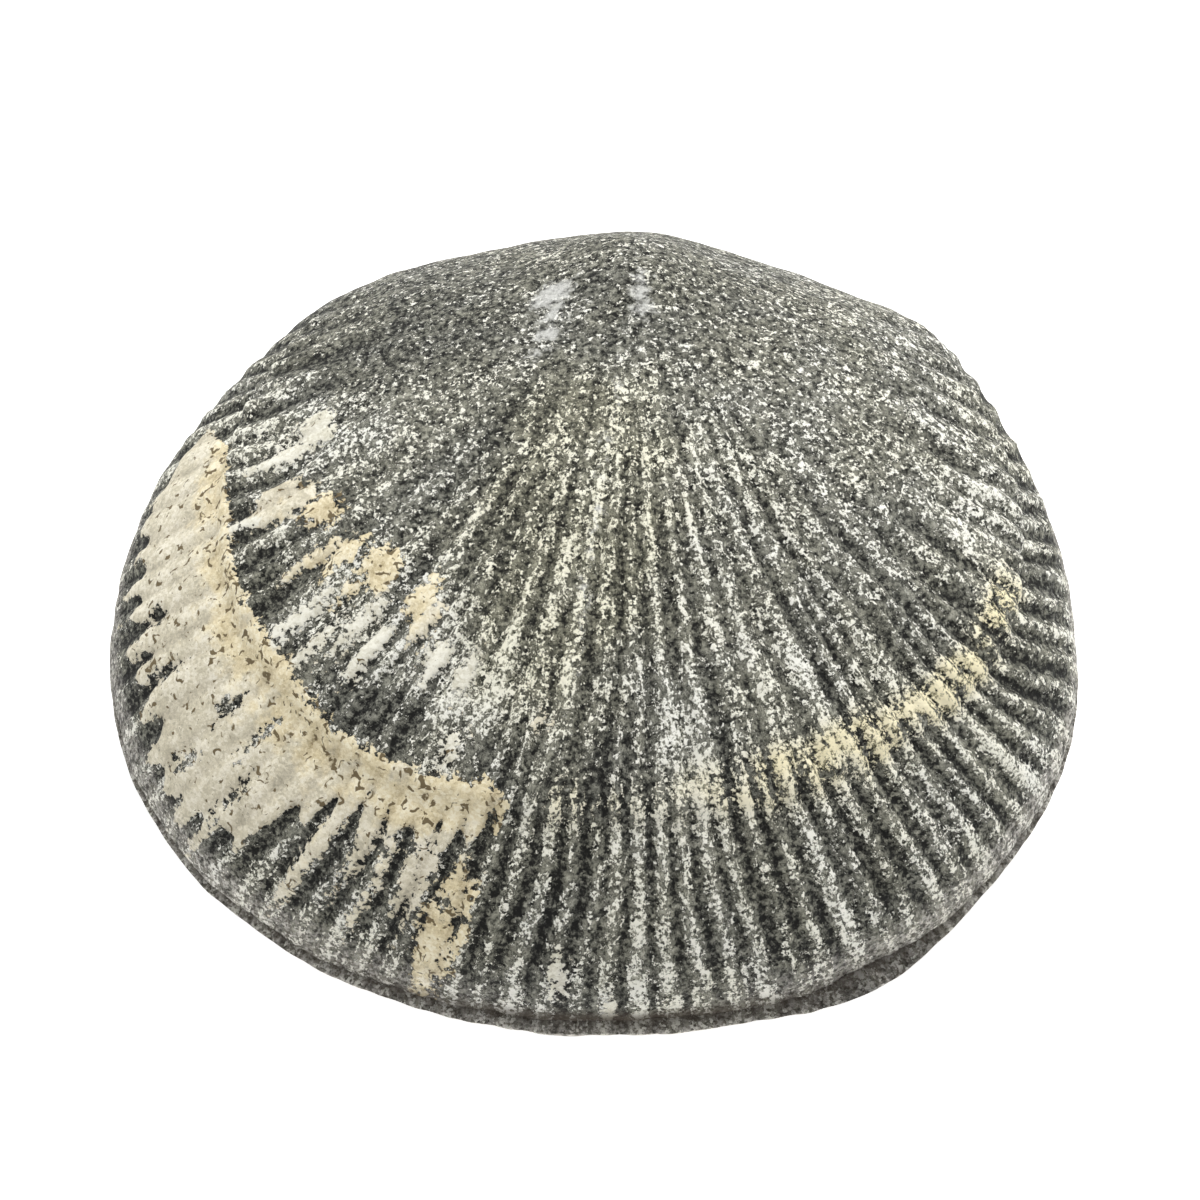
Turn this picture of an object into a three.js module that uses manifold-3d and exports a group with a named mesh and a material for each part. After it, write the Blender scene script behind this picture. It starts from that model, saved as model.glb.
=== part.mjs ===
// A ribbed brachiopod fossil: two closed valves turned to one piece of stone.
//
// The upper (brachial) valve is a high dome and the lower (pedicle) valve a shallow one.
// They meet at the commissure, the seam round the edge. Ribs fan out from the beak at the
// back and bend out towards the edge, and one strong growth step crosses them. The belly
// of the lower valve is worn flat, and the fossil rests on that face.
//
// Millimetres. +Z is up, -Y is the front edge and +Y the hinge, and the origin is at the
// bottom centre of the fossil's box. While it is shaped, z = 0 is the commissure's plane.

import * as THREE from "three";
import { mergeVertices } from "three/addons/utils/BufferGeometryUtils.js";
import Module from "manifold-3d";

const wasm = await Module();
wasm.setup();

// The outline of the edge, a rounded oval. Fullness 2 is an ellipse and more is squarer.
const LEFT_HALF = 21.9;
const RIGHT_HALF = 20.6;
const FRONT_HALF = 18.4;
const BACK_HALF = 20.6;
const LEFT_FULLNESS = 2.04;
const RIGHT_FULLNESS = 2.1;

// Where the outline stands out or is drawn in, by the angle from the front towards +X.
const OUTLINE_BUMPS = [
  { angle: -2.54, halfAngle: 0.16, reach: 0.6 }, // left end of the hinge
  { angle: -2.15, halfAngle: 0.2, reach: -0.2 },
  { angle: 0.6, halfAngle: 0.19, reach: 0.6 }, // ledge of the lower valve
  { angle: 0.98, halfAngle: 0.16, reach: -0.15 },
  { angle: 2.37, halfAngle: 0.16, reach: 0.6 }, // right end of the hinge
  { angle: 2.74, halfAngle: 0.2, reach: -0.3 },
];

// Each valve is a dome over the outline, with an umbo, the swelling by the beak.
const UPPER = { side: 1, height: 11, crownX: 0.9, crownY: 3.7, edge: 0.635, umbo: 2, inset: 0.5 };
const LOWER = { side: -1, height: 6.4, crownX: 0.4, crownY: 1, edge: 0.6, umbo: 1.2, inset: 0 };
const UMBO_SIDE = 3.6;
const UMBO_LENGTH = 4.6;
const UMBO_Y = 15.8;

// The upper valve's edge stops short of the lower one's round the front.
const INSET_HALF_ANGLE = 1.1;
const LIP = 0.15; // half the height of the seam between the edges
const SEAM_DEPTH = 0.3;

// The ribs start at the beak, and RIB_BEND and RIB_FLARE say how they bend out.
const BEAK_X = 1.1;
const BEAK_Y = 19.1;
const RIB_BEND = 0.45;
const RIB_FLARE = 0.3;
const RIB_RELIEF = 0.26;
const RIB_COUNT = 84; // round the whole edge, which has none beside the hinge
const RIBLESS_ANGLE = 2.6; // from the front, where the ribs have died out
const RIBS_START = 0.25; // as a share of the way from beak to edge
const RIBS_FULL = 0.65;

// The growth step lies at STEP of the way from beak to edge at the front. Further round, it
// comes in towards the beak on the left and goes out towards the edge on the right.
const STEP = 0.83;
const STEP_LEFT_SHIFT = -0.06;
const STEP_RIGHT_SHIFT = 0.035;
const STEP_SHIFT_START = 0.7; // angles from the front
const STEP_SHIFT_END = 1.9;
const STEP_DROP = 0.5;
const STEP_SWELL = 0.16;
const STEP_RECOVERY = 0.07;

const WORN_DEPTH = 0.45; // how much of the lower valve's belly is worn away

// The growth lines that the surface is drawn through, from beak to edge.
const UPPER_LINES = [0, 0.1, 0.22, 0.35, 0.48, 0.61, 0.73, 0.82, 0.84, 0.89, 0.94, 0.97, 0.99, 1];
const LOWER_LINES = [0, 0.18, 0.4, 0.62, 0.81, 0.84, 0.93, 0.98, 1];
const COLUMNS = 2 * RIB_COUNT; // one along each rib and one along each furrow

const { smoothstep } = THREE.MathUtils;
const bell = (x) => Math.exp(-x * x);
const turn = (from, to) => Math.atan2(Math.sin(to - from), Math.cos(to - from));

// How far the outline reaches from (fromX, fromY) along a unit direction, by halving.
function reachToOutline(fromX, fromY, directionX, directionY) {
  let inside = 0;
  let outside = 4 * LEFT_HALF;
  while (outside - inside > 1e-9) {
    const middle = (inside + outside) / 2;
    const x = fromX + middle * directionX;
    const y = fromY + middle * directionY;
    const fullness = x < 0 ? LEFT_FULLNESS : RIGHT_FULLNESS;
    const across = Math.abs(x / (x < 0 ? LEFT_HALF : RIGHT_HALF)) ** fullness;
    const along = Math.abs(y / (y < 0 ? FRONT_HALF : BACK_HALF)) ** fullness;
    if (across + along < 1) inside = middle;
    else outside = middle;
  }
  return inside;
}

// The bearing from the beak at which the rib that meets the edge at edgeAngle leaves it.
function bearingFromBeak(edgeAngle) {
  const reach = reachToOutline(0, 0, Math.sin(edgeAngle), -Math.cos(edgeAngle));
  const x = reach * Math.sin(edgeAngle);
  const y = -reach * Math.cos(edgeAngle);
  return Math.atan2(x - BEAK_X, BEAK_Y - y);
}

// How far along a growth line lies, as a share of the way from beak to edge.
function shareOfWay(growth, edgeAngle) {
  const shift = edgeAngle < 0 ? STEP_LEFT_SHIFT : STEP_RIGHT_SHIFT;
  const atSide = smoothstep(Math.abs(edgeAngle), STEP_SHIFT_START, STEP_SHIFT_END);
  const nearStep = growth < STEP ? (growth / STEP) ** 2 : (1 - growth) / (1 - STEP);
  return growth + shift * atSide * nearStep;
}

// A point of the fan in plan: growth 0 is the beak and growth 1 the edge.
function fanPoint(growth, edgeAngle) {
  const bearing = bearingFromBeak(edgeAngle);
  const gathered = growth ** RIB_BEND * Math.exp(RIB_FLARE * (growth ** 4 - 1));
  const angle = Math.atan2(gathered * Math.sin(bearing), Math.cos(bearing));
  const reach = reachToOutline(BEAK_X, BEAK_Y, Math.sin(angle), -Math.cos(angle));
  const distance = shareOfWay(growth, edgeAngle) * reach;
  return [BEAK_X + distance * Math.sin(angle), BEAK_Y - distance * Math.cos(angle)];
}

// The height that the growth step adds: a swell, a drop, and a recovery beyond it.
function stepHeight(growth, edgeAngle) {
  const past = growth - STEP;
  const height = past < 0 ? bell(past / STEP_SWELL) : -bell(past / STEP_RECOVERY);
  return (STEP_DROP / 2) * height * (1 - smoothstep(Math.abs(edgeAngle), 2, RIBLESS_ANGLE));
}

// How far the rib or furrow of this column stands out from the valve.
function ribHeight(column, growth, edgeAngle) {
  const ribbed = smoothstep(growth, RIBS_START, RIBS_FULL);
  const fan = 1 - smoothstep(Math.abs(edgeAngle), RIBLESS_ANGLE - 0.5, RIBLESS_ANGLE);
  return (column % 2 ? -0.5 : 0.5) * RIB_RELIEF * ribbed * fan;
}

// How far the edge of a valve stands out beyond the plain outline, at an angle from the front.
function edgeReach(valve, angle) {
  let reach = -valve.inset * bell(angle / INSET_HALF_ANGLE);
  for (const bump of OUTLINE_BUMPS) {
    reach += bump.reach * bell(turn(bump.angle, angle) / bump.halfAngle);
  }
  return reach;
}

// The surface of one valve, along a column and at a share of the way from beak to edge.
function valvePoint(valve, column, growth) {
  const edgeAngle = 2 * Math.PI * (column / COLUMNS - 0.5);
  const [x, y] = fanPoint(growth, edgeAngle);
  const fromCrown = new THREE.Vector2(x - valve.crownX, y - valve.crownY);
  const distance = fromCrown.length();
  const outward = fromCrown.normalize();
  const reach = reachToOutline(valve.crownX, valve.crownY, outward.x, outward.y);
  const share = Math.min(distance / reach, 1);

  const rib = ribHeight(column, growth, edgeAngle);
  const flank = share ** 2; // the surface faces up at the crown and outwards at the edge
  const spread = rib * flank + edgeReach(valve, Math.atan2(x, -y)) * share ** 4;
  const dome = valve.height * (1 - share ** 2) ** valve.edge;
  const umbo = valve.umbo * bell((x - BEAK_X) / UMBO_SIDE) * bell((y - UMBO_Y) / UMBO_LENGTH);
  const growthStep = stepHeight(growth, edgeAngle) * (1 - share ** 8);
  const ribRise = rib * Math.sqrt(1 - flank ** 2);
  const height = LIP + dome + umbo * (1 - share ** 4) + growthStep + ribRise;
  return [x + outward.x * spread, y + outward.y * spread, valve.side * height];
}

// The bottom of the seam between the two edges.
function seamPoint(column) {
  const [x, y] = valvePoint(UPPER, column, 1);
  const inward = 1 - SEAM_DEPTH / Math.hypot(x, y);
  return [x * inward, y * inward, 0];
}

// Rows run down over the upper valve to the seam, then under the lower valve to its beak.
function fossilPoint(column, row) {
  if (row < UPPER_LINES.length) return valvePoint(UPPER, column, UPPER_LINES[row]);
  if (row === UPPER_LINES.length) return seamPoint(column);
  return valvePoint(LOWER, column, LOWER_LINES.at(UPPER_LINES.length - row));
}

// A sphere's columns become the ribs and its rows the growth lines; its poles are the beaks.
function closedValves() {
  const sphere = new THREE.SphereGeometry(1, COLUMNS, UPPER_LINES.length + LOWER_LINES.length);
  const position = sphere.getAttribute("position");
  for (let i = 0; i < position.count; i++) {
    const column = (i % (COLUMNS + 1)) % COLUMNS;
    const row = Math.floor(i / (COLUMNS + 1));
    position.setXYZ(i, ...fossilPoint(column, row));
  }
  return sphere;
}

// All that lies below the worn belly.
function wornAway() {
  const size = 4 * LEFT_HALF;
  const box = new THREE.BoxGeometry(size, size, size);
  box.translate(0, 0, WORN_DEPTH - LOWER.height - LIP - size / 2);
  return box;
}

function toSolid(geometry) {
  const bare = geometry.clone();
  bare.deleteAttribute("normal");
  bare.deleteAttribute("uv");
  const merged = mergeVertices(bare);
  const vertProperties = merged.getAttribute("position").array;
  const triVerts = new Uint32Array(merged.index.array);
  return new wasm.Manifold(new wasm.Mesh({ numProp: 3, vertProperties, triVerts }));
}

function toGeometry(solid) {
  const mesh = solid.getMesh();
  const geometry = new THREE.BufferGeometry();
  geometry.setAttribute("position", new THREE.BufferAttribute(mesh.vertProperties, 3));
  geometry.setIndex(new THREE.BufferAttribute(mesh.triVerts, 1));
  return geometry;
}

function fossilGeometry() {
  const geometry = toGeometry(toSolid(closedValves()).subtract(toSolid(wornAway())));
  geometry.computeBoundingBox();
  const { min, max } = geometry.boundingBox;
  geometry.translate(-(min.x + max.x) / 2, -(min.y + max.y) / 2, -min.z);
  geometry.computeVertexNormals();
  return geometry;
}

const stone = new THREE.MeshStandardMaterial({ color: 0x6f706a, roughness: 0.85, metalness: 0 });
const fossil = new THREE.Mesh(fossilGeometry(), stone);
fossil.name = "brachiopod_fossil";

const group = new THREE.Group();
group.add(fossil);
export default group;
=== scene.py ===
"""A ribbed brachiopod fossil: two closed valves of dark stone, patched with pale crust.

The stone is shaped in millimetres, with the seam between the valves as the plane z = 0, and
laid into the frame's box at the end. Every point of it has a growth, 0 at the beak and 1 at
the edge, and an edge angle: where the rib that it lies on meets the edge, in radians from the
front towards +X.
"""

import math

import bmesh
import bpy
import numpy as np
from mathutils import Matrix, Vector, noise


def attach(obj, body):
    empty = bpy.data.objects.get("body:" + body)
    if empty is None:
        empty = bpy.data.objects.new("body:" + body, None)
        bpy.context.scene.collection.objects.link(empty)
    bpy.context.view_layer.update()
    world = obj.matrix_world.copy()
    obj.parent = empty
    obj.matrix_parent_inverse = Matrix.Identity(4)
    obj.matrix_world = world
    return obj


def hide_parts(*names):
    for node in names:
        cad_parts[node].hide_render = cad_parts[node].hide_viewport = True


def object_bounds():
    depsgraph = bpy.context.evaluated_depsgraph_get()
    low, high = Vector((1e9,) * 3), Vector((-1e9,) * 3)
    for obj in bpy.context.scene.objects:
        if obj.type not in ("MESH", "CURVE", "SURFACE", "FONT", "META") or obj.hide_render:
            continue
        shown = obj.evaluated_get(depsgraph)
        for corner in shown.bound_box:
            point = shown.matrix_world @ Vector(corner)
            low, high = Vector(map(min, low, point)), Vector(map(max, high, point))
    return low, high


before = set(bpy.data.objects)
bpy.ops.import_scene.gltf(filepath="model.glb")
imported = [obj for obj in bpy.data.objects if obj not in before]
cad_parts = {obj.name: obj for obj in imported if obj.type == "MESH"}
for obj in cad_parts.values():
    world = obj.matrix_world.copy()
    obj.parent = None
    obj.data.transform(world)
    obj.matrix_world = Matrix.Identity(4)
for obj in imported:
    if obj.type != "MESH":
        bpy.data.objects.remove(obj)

CAD_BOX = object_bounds()
MM = 0.001
NODE = "brachiopod_fossil"
SEAM_PLACE = np.array((0.65, -1.04, 6.1))  # the seam's middle, from the box's bottom centre

# --- The shape of the shell, in millimetres -------------------------------------------------

LEFT_HALF, RIGHT_HALF = 21.9, 20.6
FRONT_HALF, BACK_HALF = 18.4, 20.6
LEFT_FULLNESS, RIGHT_FULLNESS = 2.04, 2.1  # 2 is an ellipse, more is squarer

# angle, half its spread, how far the outline stands out there
OUTLINE_BUMPS = (
    (-2.54, 0.16, 0.6),  # left end of the hinge
    (-2.15, 0.2, -0.2),
    (0.6, 0.19, 0.6),  # ledge
    (0.98, 0.16, -0.15),
    (2.37, 0.16, 0.6),  # right end of the hinge
    (2.74, 0.2, -0.3),
)
LEDGE = (0.62, 0.15, 0.6)  # how far the upper valve stops short above the ledge

UPPER = dict(side=1, height=11.0, crown=(0.9, 3.7), edge=0.635, umbo=2.0, inset=0.5)
LOWER = dict(side=-1, height=6.4, crown=(0.4, 1.0), edge=0.6, umbo=1.2, inset=0.0)
UMBO_SIDE, UMBO_LENGTH, UMBO_Y = 3.6, 4.6, 15.8
INSET_HALF_ANGLE = 1.1
LIP = 0.15
SEAM_DEPTH = 0.3
WORN_DEPTH = 0.45  # how much of the lower valve's belly is worn away

BEAK = (1.1, 19.1)
RIB_BEND, RIB_FLARE = 0.45, 0.3
RIB_COUNT = 84  # round the whole edge
RIB_RELIEF = 0.26
RIBLESS_ANGLE = 2.6
PAIRS_SPLIT, FOURS_SPLIT = 0.72, 0.37  # growths at which ribs split in two
SPLITS = 80  # how many different growths each kind of split is given
RIB_WANDER = 0.28  # how far ribs stray sideways, in ribs

STEP = 0.83
LEFT_SHIFT, RIGHT_SHIFT = -0.06, 0.035
SHIFT_START, SHIFT_END = 0.7, 1.9
STEP_DROP, STEP_SWELL, STEP_RECOVERY = 0.42, 0.16, 0.08
GROWTH_LINES = (0.905, 0.945, 0.975)
LINE_DEPTH, LINE_WIDTH = 0.05, 0.007
SKIN_INSET = 0.08  # how far the skin lies inside the bare valves, so that the lumps fit the box

SQUARES = 6  # across each rib
UPPER_ROWS, LOWER_ROWS = 132, 54

# --- The crust, in millimetres --------------------------------------------------------------

# edge angle, and the growths of the crust's inner and outer margins there
CRUST_MARGINS = (
    (-2.05, 0.93, 0.9),
    (-2.0, 0.89, 0.92),
    (-1.93, 0.84, 0.935),
    (-1.86, 0.825, 0.965),
    (-1.7, 0.807, 0.955),
    (-1.5, 0.815, 0.955),
    (-1.35, 0.81, 0.96),
    (-1.2, 0.803, 0.975),
    (-1.1, 0.81, 0.985),
    (-1.0, 0.815, 0.97),
    (-0.94, 0.815, 0.92),
    (-0.85, 0.815, 0.885),
    (-0.6, 0.81, 0.875),
    (-0.45, 0.805, 0.86),
    (-0.37, 0.82, 0.82),
    (-0.3, 0.85, 0.75),
)
CRUST_THICKNESS = 0.13
WAY_LENGTH = 37  # roughly, from beak to edge

# patches of crust: edge angle, growth, half the length along the rib, half the width, and
# colour, from -1, white, through 0, cream, to 1, tan
PATCHES = (
    (-1.85, 0.63, 1.0, 0.8, -1.0),
    (-1.81, 0.69, 1.3, 0.5, -1.0),
    (-1.65, 0.71, 1.5, 0.9, 0.1),
    (-1.64, 0.75, 1.0, 0.35, -0.6),
    (-1.54, 0.66, 0.9, 0.7, 0.8),
    (-1.41, 0.7, 1.3, 0.35, 0.3),
    (-1.37, 0.665, 1.1, 0.4, 0.5),
    (-1.25, 0.69, 0.9, 0.3, 0.4),
    (-1.23, 0.65, 1.1, 0.75, 0.9),
    (-1.01, 0.65, 1.0, 0.6, 0.5),
    (-1.29, 0.765, 1.2, 0.28, -1.0),
    (-1.2, 0.76, 1.2, 0.3, -1.0),
    (-1.14, 0.72, 1.3, 0.35, -0.6),
    (-1.05, 0.73, 1.2, 0.4, -0.6),
    (-0.95, 0.67, 1.0, 0.5, 0.2),
    (-0.83, 0.7, 0.9, 0.5, -0.8),
    (-0.7, 0.7, 0.8, 0.4, -0.8),
    (-0.64, 0.78, 1.1, 0.35, -0.8),
    (-0.33, 0.73, 0.4, 0.3, 0.0),
    (-0.83, 0.91, 1.9, 0.4, 0.1),
    (-0.72, 0.9, 1.4, 0.3, 0.1),
    (-0.65, 0.92, 1.3, 0.22, 0.1),
    (-0.56, 0.9, 1.7, 0.45, 0.0),
    (-0.45, 0.94, 2.0, 0.95, 0.5),
    (-0.13, 0.96, 0.5, 0.35, -0.8),
    (0.0, 0.985, 0.3, 0.3, -0.8),
)

# holes in the crust: edge angle, growth, half the length, half the width
HOLES = (
    (-1.55, 0.925, 0.3, 0.35),
    (-1.41, 0.93, 0.6, 0.25),
    (-1.24, 0.88, 0.5, 0.3),
    (-1.2, 0.94, 0.5, 0.2),
    (-1.12, 0.87, 0.9, 0.18),
    (-1.06, 0.93, 0.6, 0.18),
    (-0.47, 0.92, 0.35, 0.3),
    (-0.41, 0.94, 0.45, 0.2),
)

# spots where more and whiter flakes lie on the stone, or fewer, and two that paint shade where
# the stone faces the softbox: edge angle, growth, half the length, half the width, amount
PALE_AND_SHADE_SPOTS = (
    (-1.8, 0.6, 5.0, 3.0, 0.5),
    (-0.95, 0.69, 3.0, 5.0, 0.65),
    (-0.55, 0.72, 1.5, 2.5, 0.4),
    (0.4, 0.7, 4.0, 4.0, 0.35),
    (-1.5, 0.785, 1.1, 4.5, -1.0),
    (-0.9, 0.775, 1.2, 4.0, -0.9),
    (-0.2, 0.78, 1.2, 4.5, -0.5),
    # painted shade: darker on the left flank, where it faces the softbox
    (-2.0, 0.45, 5.0, 4.0, -0.5),
    (1.5, 0.7, 3.0, 3.0, -0.35),
    # painted shade: darker over the beak, where it faces the softbox
    (0.0, 0.12, 7.0, 10.0, -0.4),
    (0.1, 0.46, 5.0, 5.0, 0.15),
    (-2.4, 0.8, 6.0, 8.0, -0.4),
    (-1.5, 0.98, 1.6, 9.0, -0.8),
)
OLIVE_SPOT = (-0.45, 0.52, 9.0, 5.0)

# smears of chalky dust, as edge angle, growth, half the length, half the width
CHALK = (
    (-1.72, 0.21, 1.2, 0.8),
    (-1.5, 0.24, 0.8, 0.6),
    (-1.42, 0.27, 0.7, 0.6),
    (-1.34, 0.31, 0.8, 0.4),
    (0.27, 0.19, 1.4, 0.55),
    (2.86, 0.58, 0.5, 1.3),
    (-0.25, 0.5, 3.2, 0.1),
)


def ease(x, low, high):
    """0 below low, 1 above high, smooth between."""
    t = np.clip((x - low) / (high - low), 0.0, 1.0)
    return t * t * (3.0 - 2.0 * t)


def bell(x):
    return np.exp(-x * x)


def turn(start, end):
    """The angle from start to end, the short way round."""
    return np.arctan2(np.sin(end - start), np.cos(end - start))


def reach_to_outline(start, direction):
    """How far the outline is from start along unit directions, by halving."""
    inside = np.zeros_like(direction[0])
    outside = inside + 4 * LEFT_HALF
    for _ in range(36):
        middle = (inside + outside) / 2
        x = start[0] + middle * direction[0]
        y = start[1] + middle * direction[1]
        fullness = np.where(x < 0, LEFT_FULLNESS, RIGHT_FULLNESS)
        across = np.abs(x / np.where(x < 0, LEFT_HALF, RIGHT_HALF)) ** fullness
        along = np.abs(y / np.where(y < 0, FRONT_HALF, BACK_HALF)) ** fullness
        within = across + along < 1
        inside = np.where(within, middle, inside)
        outside = np.where(within, outside, middle)
    return inside


def fan_point(growth, edge_angle):
    """Where a rib is in plan, at this growth."""
    reach = reach_to_outline((0, 0), (np.sin(edge_angle), -np.cos(edge_angle)))
    edge_x, edge_y = reach * np.sin(edge_angle), -reach * np.cos(edge_angle)
    bearing = np.arctan2(edge_x - BEAK[0], BEAK[1] - edge_y)
    gathered = growth**RIB_BEND * np.exp(RIB_FLARE * (growth**4 - 1))
    angle = np.arctan2(gathered * np.sin(bearing), np.cos(bearing))
    direction = (np.sin(angle), -np.cos(angle))
    shift = np.where(edge_angle < 0, LEFT_SHIFT, RIGHT_SHIFT)
    shift = shift * ease(np.abs(edge_angle), SHIFT_START, SHIFT_END)
    near_step = np.where(growth < STEP, (growth / STEP) ** 2, (1 - growth) / (1 - STEP))
    distance = (growth + shift * near_step) * reach_to_outline(BEAK, direction)
    return BEAK[0] + distance * direction[0], BEAK[1] + distance * direction[1]


def edge_reach(valve, angle):
    """How far a valve's edge stands out beyond the plain outline."""
    reach = -valve["inset"] * bell(angle / INSET_HALF_ANGLE)
    for bump_angle, half_angle, amount in OUTLINE_BUMPS:
        reach = reach + amount * bell(turn(bump_angle, angle) / half_angle)
    if valve is UPPER:
        reach = reach - LEDGE[2] * bell((angle - LEDGE[0]) / LEDGE[1])
    return reach


def valve_points(valve, growth, edge_angle):
    """A valve's bare surface: no ribs or growth step yet."""
    x, y = fan_point(growth, edge_angle)
    away_x, away_y = x - valve["crown"][0], y - valve["crown"][1]
    distance = np.hypot(away_x, away_y)
    out_x, out_y = away_x / distance, away_y / distance
    share = np.minimum(distance / reach_to_outline(valve["crown"], (out_x, out_y)), 1)
    spread = edge_reach(valve, np.arctan2(x, -y)) * share**4
    umbo = bell((x - BEAK[0]) / UMBO_SIDE) * bell((y - UMBO_Y) / UMBO_LENGTH)
    height = LIP + valve["height"] * (1 - share**2) ** valve["edge"]
    height = height + valve["umbo"] * umbo * (1 - share**4)
    return np.stack([x + out_x * spread, y + out_y * spread, valve["side"] * height], 1)


def closed_valves(upper, growth, edge_angle, seam):
    """The two valves and the bottom of the seam between them."""
    points = valve_points(UPPER, growth, edge_angle)
    points[~upper] = valve_points(LOWER, growth[~upper], edge_angle[~upper])
    inward = 1 - SEAM_DEPTH / np.hypot(points[seam, 0], points[seam, 1])
    points[seam, :2] *= inward[:, None]
    points[seam, 2] = 0
    return points


# --- Relief ---------------------------------------------------------------------------------


def lumps(points, size, seed):
    """Smooth noise from about -1 to 1, with lumps of this size."""
    places = points / size + seed
    return np.array([noise.noise(place) for place in places.tolist()]) * 1.4


def rib_waves(growth, edge_angle):
    """1 on the ribs' crests and -1 in the furrows. Towards the edge, ribs split in two."""
    chance = np.random.RandomState(7)
    number = edge_angle / (2 * math.pi) * RIB_COUNT
    at = number + RIB_COUNT / 2
    stagger = chance.uniform(-0.13, 0.13, RIB_COUNT + 2)
    stagger[-2] = stagger[0]
    number = number + np.interp(at, np.arange(RIB_COUNT + 2), stagger)
    wander = np.stack([number * 0.23, growth * 9, growth * 0], 1)
    number = number + RIB_WANDER * lumps(wander, 1.0, 3.3)
    pair = np.floor((number + 0.5) / 2).astype(int) % SPLITS
    four = np.floor((number + 0.5) / 4).astype(int) % SPLITS
    pair_split = chance.uniform(PAIRS_SPLIT - 0.13, PAIRS_SPLIT + 0.1, SPLITS)[pair]
    four_split = chance.uniform(FOURS_SPLIT - 0.08, FOURS_SPLIT + 0.08, SPLITS)[four]
    single = np.cos(2 * math.pi * number)
    double = np.cos(math.pi * (number - 0.5))
    fourfold = np.cos(math.pi / 2 * (number - 1.5))
    wave = fourfold + (double - fourfold) * ease(growth, four_split - 0.06, four_split + 0.06)
    wave = wave + (single - wave) * ease(growth, pair_split - 0.07, pair_split + 0.07)
    return 2 * ((wave + 1) / 2) ** 0.75 - 1


def streaks(growth, edge_angle):
    """Uneven streaks that run along the ribs."""
    number = edge_angle / (2 * math.pi) * RIB_COUNT
    fine = lumps(np.stack([number * 1.3, growth * 6, growth], 1), 1.0, 41.0)
    broad = lumps(np.stack([number * 0.4, growth * 4, growth], 1), 1.0, 43.0)
    return 0.6 * fine * ease(growth, 0.3, 0.6) + 0.6 * broad * ease(growth, 0.15, 0.35)


def step_height(growth, edge_angle):
    """The growth step: a swell, a drop and a recovery beyond it."""
    past = growth - STEP
    swell, recovery = bell(past / STEP_SWELL), bell(past / STEP_RECOVERY)
    height = swell - (swell + recovery) * ease(past, -0.01, 0.014)
    return STEP_DROP / 2 * height * (1 - ease(np.abs(edge_angle), 2, RIBLESS_ANGLE))


def patch_field(points, spot):
    """Millimetres inside an oval spot that lies along its rib; less than 0 outside."""
    edge_angle, growth, half_length, half_width = spot[:4]
    x, y = fan_point(np.array((growth, growth + 0.02)), np.array((edge_angle, edge_angle)))
    length = math.hypot(x[1] - x[0], y[1] - y[0])
    along_x, along_y = (x[1] - x[0]) / length, (y[1] - y[0]) / length
    across = ((points[:, 0] - x[0]) * along_y - (points[:, 1] - y[0]) * along_x) / half_width
    along = ((points[:, 0] - x[0]) * along_x + (points[:, 1] - y[0]) * along_y) / half_length
    return (1 - np.hypot(across, along)) * min(half_length, half_width)


def pale_and_shade_field(points, growth, edge_angle):
    """How thick the pale flakes lie: about 0 in most places, 1 where they crowd, below 0 where fewer
    lie, and also below 0 over the beak and the left flank, where it paints shade.
    """
    pale = -0.4 * ease(growth, 0.84, 0.88) * ease(growth, 1.0, 0.95)
    for spot in PALE_AND_SHADE_SPOTS:
        pale = pale + spot[4] * ease(patch_field(points, spot) / min(spot[2:4]), -0.3, 0.6)
    return pale


def stain_field(growth, edge_angle):
    """The tan stain that follows the growth step on the right."""
    along = (0.35 + 0.75 * ease(edge_angle, 0.25, 0.6)) * ease(edge_angle, -0.4, -0.2)
    return along * ease(edge_angle, 1.75, 1.6) * bell((growth - 0.812) / 0.03)


def crust_fields(points, growth, edge_angle, upper, ribs):
    """How far inside the crust each point is, in millimetres, and the crust's colour."""
    angles, inner, outer = np.array(CRUST_MARGINS).T
    inner = np.interp(edge_angle, angles, inner, 1.0, 1.0)
    outer = np.interp(edge_angle, angles, outer, 0.7, 0.7)
    ragged = 0.5 * ribs * (1 + lumps(points, 2.2, 17.0)) + 0.6 * lumps(points, 1.0, 11.0)
    from_outer = (outer - growth) * WAY_LENGTH + ragged
    from_step = (growth - inner) * WAY_LENGTH + 0.3 * lumps(points, 0.7, 5.0)
    field = np.minimum(from_outer, from_step)
    tan = bell((growth - 0.825) / 0.04) * (0.75 + 0.6 * lumps(points, 1.5, 21.0))
    for patch in PATCHES:
        inside = patch_field(points, patch) + 0.25 * ragged
        tan = np.where(inside > np.maximum(field, -0.2), patch[4], tan)
        field = np.maximum(field, inside)
    for hole in HOLES:
        field = np.minimum(field, 0.1 * ragged - patch_field(points, hole))
    return np.where(upper, field, -2.0), np.clip(tan, -1, 1)


def chalk_field(points, upper):
    """Millimetres inside the chalky smears; less than 0 outside."""
    field = np.full(len(points), -2.0)
    for spot in CHALK:
        field = np.maximum(field, patch_field(points, spot))
    return np.where(upper, field + 0.3 * lumps(points, 0.6, 31.0), -2.0)


def give_attribute(mesh, name, values):
    """A number for each vertex, which the material reads."""
    layer = mesh.attributes.new(name, "FLOAT", "POINT")
    layer.data.foreach_set("value", np.asarray(values, dtype=np.float32))


# --- The fossil -----------------------------------------------------------------------------


def make_blank():
    """A ball whose poles become the two beaks, and its columns the ribs' runs."""
    bm = bmesh.new()
    rows = (UPPER_ROWS + LOWER_ROWS) // SQUARES
    bmesh.ops.create_uvsphere(bm, u_segments=RIB_COUNT, v_segments=rows, radius=1.0)
    bmesh.ops.subdivide_edges(bm, edges=bm.edges, cuts=SQUARES - 1, use_grid_fill=True)
    mesh = bpy.data.meshes.new("fossil")
    bm.to_mesh(mesh)
    bm.free()
    return mesh


def read_vectors(items, name):
    values = np.empty(3 * len(items))
    items.foreach_get(name, values)
    return values.reshape(-1, 3)


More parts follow.
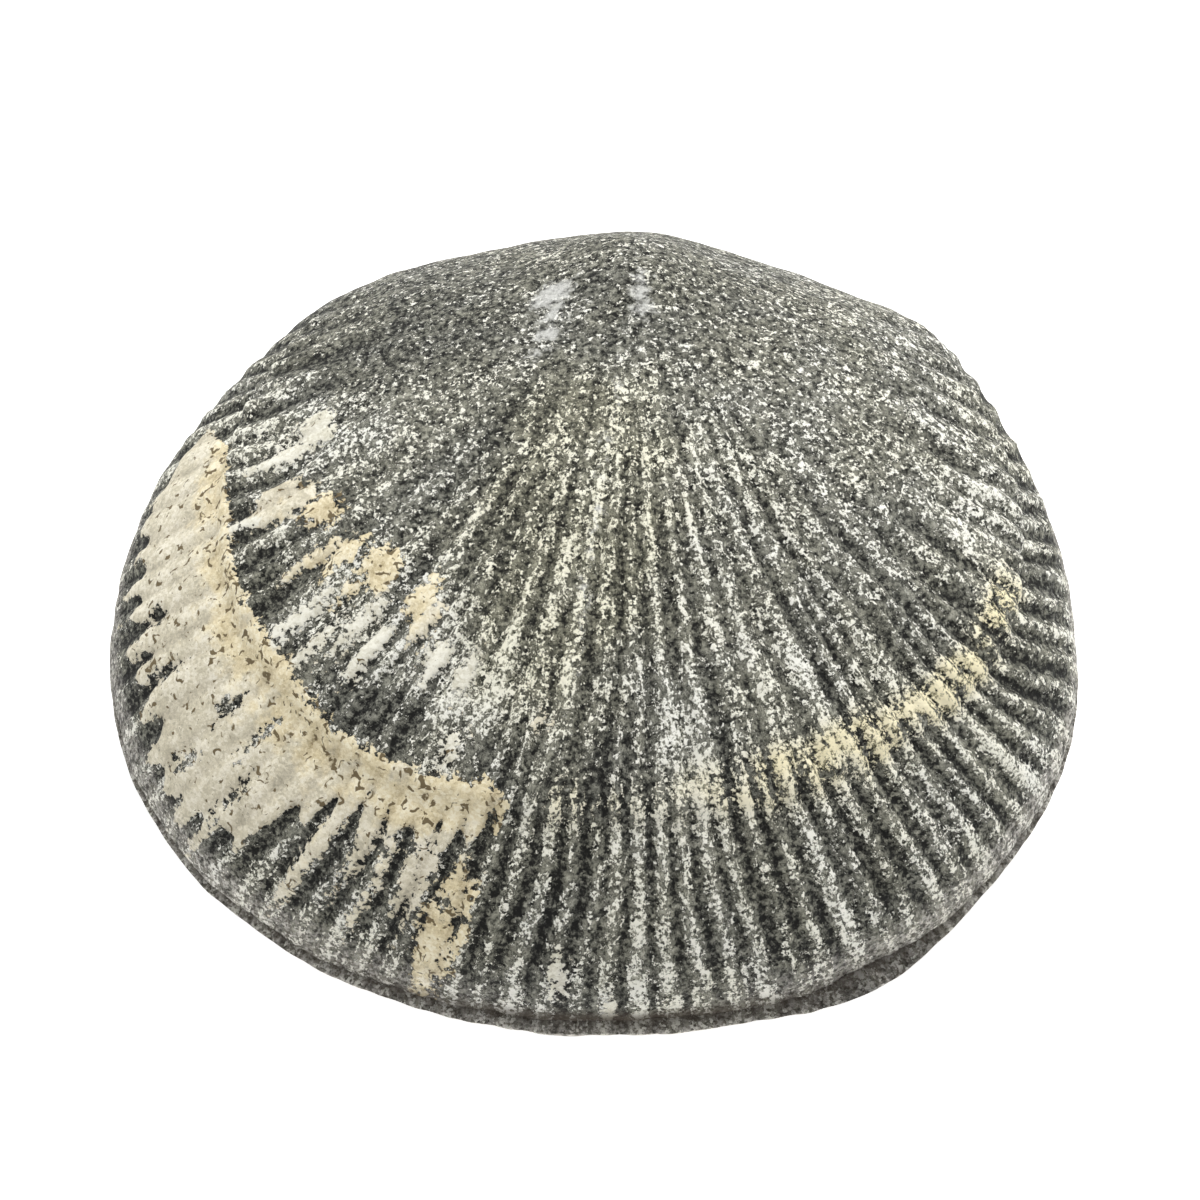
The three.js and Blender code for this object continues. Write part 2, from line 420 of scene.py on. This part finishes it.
def shape_fossil(mesh):
    """Moves the ball's points onto the fossil and gives them the material's attributes."""
    ball = read_vectors(mesh.vertices, "co")
    edge_angle = np.arctan2(ball[:, 0], -ball[:, 1])
    from_pole = np.arctan2(np.hypot(ball[:, 0], ball[:, 1]), ball[:, 2])
    row = np.rint(from_pole / math.pi * (UPPER_ROWS + LOWER_ROWS))
    seam = row == UPPER_ROWS
    upper = row <= UPPER_ROWS
    rows_up = UPPER_ROWS + LOWER_ROWS - row
    rows_down = np.where(upper, row / (UPPER_ROWS - 1), rows_up / (LOWER_ROWS - 1))
    growth = np.sin(np.clip(rows_down, 0, 1) * math.pi / 2)

    bare = closed_valves(upper, growth, edge_angle, seam)
    mesh.vertices.foreach_set("co", bare.ravel())
    mesh.update()
    normals = read_vectors(mesh.vertices, "normal")

    ribbed = 1 - ease(np.abs(edge_angle), RIBLESS_ANGLE - 0.5, RIBLESS_ANGLE)
    ribs = rib_waves(growth, edge_angle) * ribbed
    relief = RIB_RELIEF / 2 * ease(growth, 0.15, 0.7) * (1 + 0.3 * lumps(bare, 2.0, 9.0))
    calm = 0.85 * ease(np.abs(edge_angle), 1.0, 1.7) * ease(growth, 0.72, 0.5)
    relief = relief * (1 - calm)
    crust, tan = crust_fields(bare, growth, edge_angle, upper, ribs)
    crusted = ease(crust, -0.12, 0.16)

    margin = ease(growth, 0.95, 0.995)
    height = ribs * relief * (1 - 0.7 * crusted) * (1 - 0.85 * margin)
    height = height + CRUST_THICKNESS * crusted * (1 - margin)
    height = height + step_height(growth, edge_angle)
    for line in GROWTH_LINES:
        wobble = 0.006 * lumps(np.stack([edge_angle, growth, growth], 1), 0.5, 2 * line)
        height = height - LINE_DEPTH * bell((growth - line + wobble) / LINE_WIDTH) * ribbed
    height = height + 0.1 * lumps(bare, 4.5, 1.0) + 0.05 * lumps(bare, 1.4, 2.0) - SKIN_INSET
    height = height * np.where(seam, 0.0, 1.0)

    points = bare + normals * height[:, None]
    points[:, 2] = np.maximum(points[:, 2], WORN_DEPTH - LOWER["height"] - LIP)
    mesh.vertices.foreach_set("co", ((points + SEAM_PLACE) * MM).ravel())
    mesh.polygons.foreach_set("use_smooth", np.ones(len(mesh.polygons), dtype=bool))
    mesh.update()

    # painted shade, partly dark matter: darker low on the upper valve's front towards the seam, and
    # in the seam groove
    depth = np.abs(bare[:, 2])
    seam_shade_and_grime = np.where(upper, bell(edge_angle / 0.6) * ease(depth, 1.1, 0.3), 0.05)
    # a lighter band of dust along the upper valve's rim; over the whole lower valve, painted light
    # that lifts the shade it lies in as it faces down and out
    clean = bell(edge_angle / 0.45)
    dust_and_painted_light = np.where(upper, 0.75 * ease(growth, 0.978, 0.994) * (1 - clean), 1.0)
    crests = ribs * (0.75 * ease(growth, 0.2, 0.6) + 0.35 * ease(growth, 0.8, 0.86))
    crests = crests + streaks(growth, edge_angle) * ribbed
    give_attribute(mesh, "ribs", crests * (1 - calm))
    give_attribute(mesh, "crust", crust)
    give_attribute(mesh, "tan", tan)
    give_attribute(mesh, "chalk", chalk_field(bare, upper))
    give_attribute(mesh, "pale", np.where(upper, pale_and_shade_field(bare, growth, edge_angle), 0.0))
    stain = stain_field(growth, edge_angle) * (1.0 + lumps(bare, 1.8, 51.0))
    olive = ease(patch_field(bare, OLIVE_SPOT) / OLIVE_SPOT[3], -0.2, 0.5)
    give_attribute(mesh, "stain", np.where(upper, np.clip(stain, 0, 1), 0.0))
    give_attribute(mesh, "olive", np.where(upper, olive, 0.0))
    give_attribute(mesh, "rib_number", edge_angle / (2 * math.pi) * RIB_COUNT)
    give_attribute(mesh, "growth", growth)
    give_attribute(mesh, "streaky", ribbed * ease(growth, 0.2, 0.45) * (1 - calm))
    give_attribute(mesh, "seam_shade_and_grime", np.maximum(seam_shade_and_grime, seam))
    give_attribute(mesh, "dust_and_painted_light", dust_and_painted_light)


def make_fossil():
    mesh = make_blank()
    shape_fossil(mesh)
    piece = bpy.data.objects.new("fossil", mesh)
    bpy.context.scene.collection.objects.link(piece)
    mesh.materials.append(stone_material())
    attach(piece, "root")
    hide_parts(NODE)


# --- Nodes ----------------------------------------------------------------------------------


def add_node(tree, kind, inputs=None, **settings):
    """A node with these settings; inputs are values, or sockets to link from."""
    node = tree.nodes.new(kind)
    for name, value in settings.items():
        setattr(node, name, value)
    for name, value in (inputs or {}).items():
        if isinstance(value, bpy.types.NodeSocket):
            tree.links.new(value, node.inputs[name])
        else:
            node.inputs[name].default_value = value
    return node


def sums(tree, operation, *values, clamp=False):
    inputs = dict(enumerate(values))
    return add_node(tree, "ShaderNodeMath", inputs, operation=operation, use_clamp=clamp).outputs[0]


def remap(tree, value, low, high, to_low=0.0, to_high=1.0):
    """Eases a value from the range low to high into to_low to to_high."""
    inputs = {0: value, 1: low, 2: high, 3: to_low, 4: to_high}
    kind = "ShaderNodeMapRange"
    return add_node(tree, kind, inputs, interpolation_type="SMOOTHSTEP").outputs[0]


def mix_colours(tree, share, first, second, blend="MIX"):
    inputs = {0: share, 6: first, 7: second}
    settings = dict(data_type="RGBA", blend_type=blend)
    return add_node(tree, "ShaderNodeMix", inputs, **settings).outputs[2]


def mix_values(tree, share, first, second):
    return add_node(tree, "ShaderNodeMix", {0: share, 2: first, 3: second}).outputs[0]


def ramp(tree, value, stops):
    """A colour ramp with stops of position and colour."""
    node = add_node(tree, "ShaderNodeValToRGB", {0: value})
    elements = node.color_ramp.elements
    while len(elements) < len(stops):
        elements.new(0.5)
    for element, (position, colour) in zip(elements, stops):
        element.position = position
        element.color = (*colour, 1)
    return node.outputs[0]


def attribute(tree, name):
    return add_node(tree, "ShaderNodeAttribute", attribute_name=name).outputs["Fac"]


def noise_value(tree, place, scale, detail=3.0, roughness=0.55):
    inputs = {"Vector": place, "Scale": scale, "Detail": detail, "Roughness": roughness}
    return add_node(tree, "ShaderNodeTexNoise", inputs).outputs["Fac"]


def streaky_noise(tree, place, scale, detail, roughness):
    """Noise drawn out along the ribs, and even where there are none."""
    growth = attribute(tree, "growth")
    number = attribute(tree, "rib_number")
    along = sums(tree, "MULTIPLY", growth, 15.0)
    settings = {"Scale": scale, "Detail": detail, "Roughness": roughness, "Distortion": 0.4}
    fields = []
    for crowding in (0.5, 1.1):
        across = sums(tree, "MULTIPLY", number, crowding)
        spot = add_node(tree, "ShaderNodeCombineXYZ", {0: across, 1: along}).outputs[0]
        node = add_node(tree, "ShaderNodeTexNoise", {"Vector": spot, **settings})
        fields.append(node.outputs["Fac"])
    even = add_node(tree, "ShaderNodeTexNoise", {"Vector": place, **settings}).outputs["Fac"]
    drawn = mix_values(tree, remap(tree, growth, 0.5, 0.8), *fields)
    share = sums(tree, "MULTIPLY", attribute(tree, "streaky"), 0.7)
    return mix_values(tree, share, even, drawn)


def millimetres(tree):
    """Object coordinates in millimetres."""
    place = add_node(tree, "ShaderNodeTexCoord").outputs["Object"]
    return add_node(
        tree, "ShaderNodeVectorMath", {0: place, "Scale": 1000.0}, operation="SCALE"
    ).outputs[0]


def grain_group():
    """Angular mineral grains: a tone for each from 0 to 1, and their height."""
    tree = bpy.data.node_groups.new("mineral grains", "ShaderNodeTree")
    tree.interface.new_socket("Place", in_out="INPUT", socket_type="NodeSocketVector")
    tree.interface.new_socket("Grain Size", in_out="INPUT", socket_type="NodeSocketFloat")
    tree.interface.new_socket("Tone", in_out="OUTPUT", socket_type="NodeSocketFloat")
    tree.interface.new_socket("Height", in_out="OUTPUT", socket_type="NodeSocketFloat")
    start = add_node(tree, "NodeGroupInput")
    scale = sums(tree, "DIVIDE", 1.0, start.outputs["Grain Size"])
    place = add_node(
        tree, "ShaderNodeVectorMath", {0: start.outputs["Place"], "Scale": scale}, operation="SCALE"
    ).outputs[0]
    wobble = add_node(tree, "ShaderNodeTexNoise", {"Vector": place, "Scale": 1.3, "Detail": 2.0})
    ragged = add_node(
        tree, "ShaderNodeVectorMath", {0: wobble.outputs["Color"], 1: (0.9, 0.9, 0.9), 2: place},
        operation="MULTIPLY_ADD",
    ).outputs[0]
    coarse = add_node(tree, "ShaderNodeTexVoronoi", {"Vector": ragged, "Scale": 1.0})
    fine = add_node(tree, "ShaderNodeTexVoronoi", {"Vector": ragged, "Scale": 2.1})
    tones = []
    for cells in (coarse, fine):
        split = add_node(tree, "ShaderNodeSeparateColor", {0: cells.outputs["Color"]})
        tones.append(split.outputs[0])
    tone = sums(tree, "MULTIPLY_ADD", tones[0], 0.62, sums(tree, "MULTIPLY", tones[1], 0.38))
    height = sums(tree, "SUBTRACT", tone, sums(tree, "MULTIPLY", coarse.outputs["Distance"], 0.8))
    end = add_node(tree, "NodeGroupOutput")
    tree.links.new(tone, end.inputs["Tone"])
    tree.links.new(height, end.inputs["Height"])
    return tree


def place_group(tree, group, inputs):
    return add_node(tree, "ShaderNodeGroup", inputs, node_tree=group).outputs


# --- Materials ------------------------------------------------------------------------------


def dark_stone(tree, place, grains, ribs):
    """Dark grey stone under ragged pale flakes, which keep to the ribs' crests."""
    # pale also carries painted shade: below 0 over the beak and the left flank it darkens the stone
    # and thins its flakes
    pale = attribute(tree, "pale")
    stain = attribute(tree, "stain")
    cluster = noise_value(tree, place, 0.8, 2.0)
    grit = sums(tree, "MULTIPLY_ADD", grains["Tone"], 0.45, noise_value(tree, place, 3.2, 4.0))
    grit = sums(tree, "MULTIPLY_ADD", ribs, 0.14, grit)
    grit = sums(tree, "MULTIPLY_ADD", pale, 0.12, grit)
    matrix = ramp(tree, grit, (
        (0.46, (0.009, 0.009, 0.008)),
        (0.57, (0.05, 0.051, 0.045)),
        (0.68, (0.145, 0.146, 0.126)),
        (0.8, (0.26, 0.26, 0.225)),
        (0.95, (0.43, 0.43, 0.38)),
    ))

    field = streaky_noise(tree, place, 3.6, 3.0, 0.66)
    field = sums(tree, "MULTIPLY_ADD", sums(tree, "SUBTRACT", grains["Tone"], 0.4), 0.24, field)
    field = sums(tree, "MULTIPLY_ADD", ribs, 0.095, field)
    field = sums(tree, "MULTIPLY_ADD", pale, 0.1, field)
    field = sums(tree, "MULTIPLY_ADD", stain, 0.1, field)
    field = sums(tree, "MULTIPLY_ADD", cluster, 0.25, field)
    flaked = remap(tree, field, 0.692, 0.712)
    shadow = sums(tree, "SUBTRACT", remap(tree, field, 0.645, 0.675), flaked)
    tone = sums(tree, "MULTIPLY_ADD", sums(tree, "SUBTRACT", field, 0.69), 4.2, grains["Tone"])
    flakes = ramp(tree, tone, (
        (0.3, (0.2, 0.2, 0.165)),
        (0.55, (0.34, 0.34, 0.29)),
        (0.8, (0.57, 0.565, 0.51)),
        (1.0, (0.92, 0.915, 0.87)),
    ))
    stained = mix_colours(tree, 1.0, flakes, (1.0, 0.93, 0.72, 1), "MULTIPLY")
    flakes = mix_colours(tree, stain, flakes, stained)
    shadow = sums(tree, "MULTIPLY", shadow, 0.85)
    matrix = mix_colours(tree, shadow, matrix, (0.015, 0.015, 0.012, 1))
    colour = mix_colours(tree, flaked, matrix, flakes)
    olive = remap(tree, noise_value(tree, place, 0.3, 2.0), 0.35, 0.6, 0.25, 0.55)
    olive = sums(tree, "MULTIPLY_ADD", attribute(tree, "olive"), 0.6, olive, clamp=True)
    tinted = mix_colours(tree, 1.0, colour, (1.0, 0.975, 0.84, 1), "MULTIPLY")
    return mix_colours(tree, olive, colour, tinted), flaked


def pale_crust(tree, place, grains, ribs):
    """Cream crust that turns tan and pitted towards the growth step, with painted shade in its
    furrows.
    """
    tone = sums(tree, "MULTIPLY_ADD", grains["Tone"], 0.5, -0.05)
    tone = sums(tree, "MULTIPLY_ADD", ribs, 0.07, tone)
    tone = sums(tree, "MULTIPLY_ADD", noise_value(tree, place, 0.8, 4.0, 0.62), 1.0, tone)
    tone = sums(tree, "ADD", tone, -0.08)
    cream = ramp(tree, tone, (
        (0.05, (0.28, 0.25, 0.18)),
        (0.33, (0.5, 0.46, 0.35)),
        (0.6, (0.68, 0.625, 0.475)),
        (0.88, (0.88, 0.83, 0.69)),
    ))
    tan = ramp(tree, tone, (
        (0.15, (0.26, 0.2, 0.1)),
        (0.38, (0.6, 0.505, 0.31)),
        (0.65, (0.8, 0.7, 0.47)),
        (0.9, (0.93, 0.86, 0.66)),
    ))
    share = sums(tree, "ADD", attribute(tree, "tan"), noise_value(tree, place, 1.6, 2.0))
    colour = mix_colours(tree, remap(tree, share, 0.6, 1.0), cream, tan)
    white = ramp(tree, tone, (
        (0.15, (0.26, 0.24, 0.18)),
        (0.45, (0.66, 0.63, 0.51)),
        (0.8, (0.88, 0.86, 0.75)),
    ))
    colour = mix_colours(tree, remap(tree, attribute(tree, "tan"), -0.2, -0.6), colour, white)
    # painted shade: the crust greyed in the furrows between its ribs
    furrow_shading = remap(tree, ribs, 0.2, -0.9, 0.0, 0.3)
    furrow_shade_colour = mix_colours(tree, 1.0, colour, (0.72, 0.71, 0.74, 1), "MULTIPLY")
    colour = mix_colours(tree, furrow_shading, colour, furrow_shade_colour)
    pits = add_node(tree, "ShaderNodeTexNoise", {
        "Vector": place, "Scale": 2.4, "Detail": 2.0, "Distortion": 0.8,
    }).outputs["Fac"]
    pits = sums(tree, "MULTIPLY_ADD", attribute(tree, "tan"), 0.07, pits)
    pits = remap(tree, pits, 0.63, 0.67)
    return mix_colours(tree, pits, colour, (0.17, 0.13, 0.07, 1))


def stone_material():
    """Stone, crust on it, then chalk, dust and painted light on the rim and lower valve, then dark
    matter and painted shade in and beside the seam.
    """
    material = bpy.data.materials.new("fossil stone")
    material.use_nodes = True
    tree = material.node_tree
    shader = tree.nodes["Principled BSDF"]
    place = millimetres(tree)
    grains = place_group(tree, grain_group(), {"Place": place, "Grain Size": 0.14})
    ribs = attribute(tree, "ribs")

    ragged = sums(tree, "SUBTRACT", noise_value(tree, place, 3.2, 3.0, 0.65), 0.5)
    edge = sums(tree, "MULTIPLY_ADD", ragged, 1.7, attribute(tree, "crust"))
    crusted = remap(tree, edge, -0.03, 0.03)
    outline = sums(tree, "SUBTRACT", remap(tree, edge, -0.16, -0.03), crusted)

    stone, flaked = dark_stone(tree, place, grains, ribs)
    outline = sums(tree, "MULTIPLY", outline, 0.65)
    stone = mix_colours(tree, outline, stone, (0.03, 0.03, 0.026, 1))
    colour = mix_colours(tree, crusted, stone, pale_crust(tree, place, grains, ribs))

    chalk = sums(tree, "MULTIPLY_ADD", ragged, 2.2, attribute(tree, "chalk"))
    chalk = sums(tree, "MULTIPLY", remap(tree, chalk, -0.1, 0.6), 0.75)
    powder = ramp(tree, grains["Tone"], ((0.1, (0.5, 0.5, 0.47)), (0.8, (0.82, 0.82, 0.79))))
    colour = mix_colours(tree, chalk, colour, powder)

    # dust on the rim, and painted light over the shaded lower valve
    dust_and_painted_light = remap(tree, noise_value(tree, place, 4.0, 3.0), 0.4, 0.6, 0.2, 0.85)
    dust_and_painted_light = sums(tree, "MULTIPLY", attribute(tree, "dust_and_painted_light"), dust_and_painted_light)
    dust = ramp(tree, grains["Tone"], ((0.2, (0.22, 0.2, 0.165)), (0.75, (0.86, 0.82, 0.76))))
    colour = mix_colours(tree, dust_and_painted_light, colour, dust)
    # painted shade in and beside the seam, partly dark matter
    seam_shade_and_grime = sums(tree, "MULTIPLY", attribute(tree, "seam_shade_and_grime"), 0.85)
    colour = mix_colours(tree, seam_shade_and_grime, colour, (0.06, 0.045, 0.032, 1))
    tree.links.new(colour, shader.inputs["Base Color"])

    rough = remap(tree, grains["Tone"], 0.0, 1.0, 0.92, 0.7)
    tree.links.new(rough, shader.inputs["Roughness"])
    height = sums(tree, "MULTIPLY_ADD", flaked, 0.5, sums(tree, "MULTIPLY", grains["Height"], 0.3))
    height = sums(tree, "MAXIMUM", height, sums(tree, "MULTIPLY", crusted, 0.8))
    height = sums(tree, "MULTIPLY_ADD", ragged, 0.8, height)
    bump = add_node(tree, "ShaderNodeBump", {"Height": height, "Strength": 1.0, "Distance": 0.00008})
    tree.links.new(bump.outputs[0], shader.inputs["Normal"])
    shader.inputs["Specular IOR Level"].default_value = 0.3
    return material


def floor_material():
    material = bpy.data.materials.new("white floor")
    material.use_nodes = True
    tree = material.node_tree
    shader = tree.nodes["Principled BSDF"]
    faint = noise_value(tree, add_node(tree, "ShaderNodeTexCoord").outputs["Object"], 40.0)
    tone = mix_colours(tree, faint, (0.94, 0.94, 0.94, 1), (0.96, 0.96, 0.96, 1))
    tree.links.new(tone, shader.inputs["Base Color"])
    shader.inputs["Roughness"].default_value = 0.9
    shader.inputs["Specular IOR Level"].default_value = 0.0
    shader.inputs["Emission Color"].default_value = (1, 1, 1, 1)
    shader.inputs["Emission Strength"].default_value = 0.7
    return material


# --- Stage ----------------------------------------------------------------------------------


FLOOR_HALF = 0.6
FLOOR_GAP = 0.02 * MM  # keeps the floor clear of the worn belly
LENS_TARGET = (0.65 * MM, -0.95 * MM, 10.1 * MM)  # from the box's bottom centre
LENS_DISTANCE = 0.2
LENS_ELEVATION = math.radians(61)


def make_floor():
    bm = bmesh.new()
    bmesh.ops.create_grid(bm, x_segments=2, y_segments=2, size=FLOOR_HALF)
    bmesh.ops.translate(bm, verts=bm.verts, vec=(0, 0, CAD_BOX[0].z - FLOOR_GAP))
    mesh = bpy.data.meshes.new("floor")
    bm.to_mesh(mesh)
    bm.free()
    floor = bpy.data.objects.new("floor", mesh)
    bpy.context.scene.collection.objects.link(floor)
    mesh.materials.append(floor_material())


def aim(thing, place, target):
    thing.location = place
    thing.rotation_euler = (Vector(target) - Vector(place)).to_track_quat("-Z", "Y").to_euler()


def add_softbox(name, place, size, watts):
    lamp = bpy.data.lights.new(name, "AREA")
    lamp.size = size
    lamp.energy = watts
    thing = bpy.data.objects.new(name, lamp)
    bpy.context.scene.collection.objects.link(thing)
    aim(thing, place, (0, 0, 0.008))


def add_lights():
    scene = bpy.context.scene
    world = bpy.data.worlds.new("studio")
    scene.world = world
    world.use_nodes = True
    background = world.node_tree.nodes["Background"]
    background.inputs["Color"].default_value = (1, 1, 1, 1)
    background.inputs["Strength"].default_value = 0.42
    add_softbox("overhead softbox", (0.06, 0.2, 0.36), 0.22, 1.6)
    scene.view_settings.view_transform = "Standard"


def add_camera():
    camera = bpy.data.cameras.new("camera")
    camera.sensor_width = 36
    camera.lens = 139.4
    camera.shift_x = -0.0071
    camera.shift_y = 0.0014
    camera.clip_start = 0.01
    thing = bpy.data.objects.new("camera", camera)
    bpy.context.scene.collection.objects.link(thing)
    low, high = CAD_BOX
    bottom_centre = Vector(((low.x + high.x) / 2, (low.y + high.y) / 2, low.z))
    target = bottom_centre + Vector(LENS_TARGET)
    away = Vector((0, -math.cos(LENS_ELEVATION), math.sin(LENS_ELEVATION)))
    place = target + LENS_DISTANCE * away
    aim(thing, place, target)
    bpy.context.scene.camera = thing


add_camera()
make_fossil()
make_floor()
add_lights()
